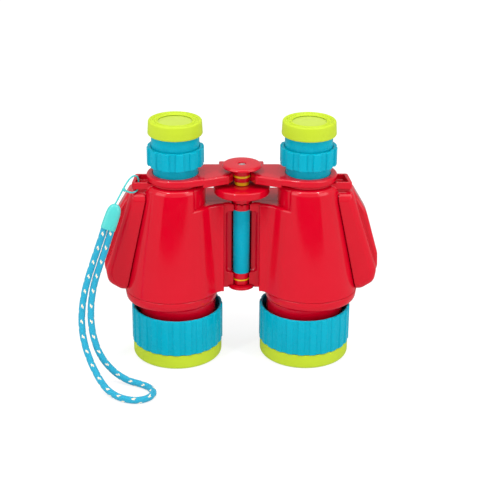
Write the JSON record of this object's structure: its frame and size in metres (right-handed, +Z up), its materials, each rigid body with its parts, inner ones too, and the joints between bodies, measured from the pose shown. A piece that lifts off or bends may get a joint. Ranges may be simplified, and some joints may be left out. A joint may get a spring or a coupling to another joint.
{
  "type": "toy binoculars",
  "caption": "Folding toy binoculars in glossy plastic, standing upright, with ribbed focus rings, lime eyecups, a centre focus wheel and a looped wrist strap",
  "frame": {"origin": "on the floor plane under the two objective end rings, on the axis of the centre hinge", "axes": "+X to the right half as seen from the front, +Y to the rear (the side with the shell screws), +Z up from the objective ends to the eyecups, along the line of sight"},
  "size_m": [0.1651, 0.0892, 0.1385],
  "materials": {
    "red_plastic": "glossy moulded plastic",
    "blue_plastic": "glossy moulded plastic",
    "lime_plastic": "satin moulded plastic",
    "turquoise_plastic": "satin moulded plastic",
    "yellow_plastic": "glossy moulded plastic",
    "steel": "plain zinc-plated steel",
    "lens": "clear polished plastic lens",
    "blue_braid": "braided cord with pale flecks",
    "turquoise_string": "thin twisted string"
  },
  "bodies": {
    "left_half": {"left_end_ring": "lime_plastic", "left_objective_mount": "red_plastic", "left_objective_lens": "lens", "left_lens_retainer": "blue_plastic", "left_front_shell": "red_plastic", "left_rear_shell": "red_plastic", "left_shell_screws": "steel", "left_bridge_arm": "red_plastic", "left_eyepiece_base": "blue_plastic", "hinge_cap": "red_plastic", "hinge_axle": "steel", "lower_hinge_washer": "yellow_plastic", "hinge_sleeve": "blue_plastic", "middle_hinge_bush": "yellow_plastic", "upper_hinge_washer": "yellow_plastic", "click_ring": "red_plastic", "hinge_knob": "red_plastic", "knob_screw": "steel", "cap_screw": "steel", "strap_string": "turquoise_string", "strap_cord": "blue_braid", "strap_knot": "turquoise_string", "strap_ferrule": "turquoise_plastic"},
    "right_half": {"right_end_ring": "lime_plastic", "right_objective_mount": "red_plastic", "right_objective_lens": "lens", "right_lens_retainer": "blue_plastic", "right_front_shell": "red_plastic", "right_rear_shell": "red_plastic", "right_shell_screws": "steel", "right_bridge_arm": "red_plastic", "right_eyepiece_base": "blue_plastic"},
    "focus_wheel": {"focus_wheel": "red_plastic"},
    "left_objective_ring": {"left_objective_ring": "blue_plastic"},
    "left_eyepiece_ring": {"left_eyepiece_ring": "blue_plastic"},
    "left_eyepiece": {"left_eyepiece_tube": "blue_plastic", "left_eyepiece_lens": "lens", "left_eyecup": "lime_plastic"},
    "right_objective_ring": {"right_objective_ring": "blue_plastic"},
    "right_eyepiece_ring": {"right_eyepiece_ring": "blue_plastic"},
    "right_eyepiece": {"right_eyepiece_tube": "blue_plastic", "right_eyepiece_lens": "lens", "right_eyecup": "lime_plastic"}
  },
  "joints": [
    {"name": "fold", "type": "hinge", "parent": "left_half", "child": "right_half", "pos_m": [0, 0, 0], "axis": [0, 0, -1], "range_deg": [0, 60]},
    {"name": "focus", "type": "hinge", "parent": "left_half", "child": "focus_wheel", "pos_m": [0, 0, 0], "axis": [0, 0, 1], "continuous": true},
    {"name": "left_objective_turn", "type": "hinge", "parent": "left_half", "child": "left_objective_ring", "pos_m": [-0.036, 0, 0], "axis": [0, 0, 1], "continuous": true},
    {"name": "left_eyepiece_slide", "type": "slide", "parent": "left_half", "child": "left_eyepiece", "axis": [0, 0, 1], "range_m": [-0.0004, 0.0036]},
    {"name": "left_eyepiece_turn", "type": "hinge", "parent": "left_half", "child": "left_eyepiece_ring", "pos_m": [-0.036, 0, 0], "axis": [0, 0, 1], "range_deg": [-12.5, 108.5]},
    {"name": "right_objective_turn", "type": "hinge", "parent": "right_half", "child": "right_objective_ring", "pos_m": [0.036, 0, 0], "axis": [0, 0, 1], "continuous": true},
    {"name": "right_eyepiece_slide", "type": "slide", "parent": "right_half", "child": "right_eyepiece", "axis": [0, 0, 1], "range_m": [0, 0.004]},
    {"name": "right_eyepiece_turn", "type": "hinge", "parent": "right_half", "child": "right_eyepiece_ring", "pos_m": [0.036, 0, 0], "axis": [0, 0, 1], "range_deg": [-0.5, 120.5]}
  ],
  "couplings": [
    {"joint": "left_eyepiece_turn", "follows": "left_eyepiece_slide", "rad_per_m": 523.62},
    {"joint": "right_eyepiece_turn", "follows": "right_eyepiece_slide", "rad_per_m": 523.62}
  ]
}
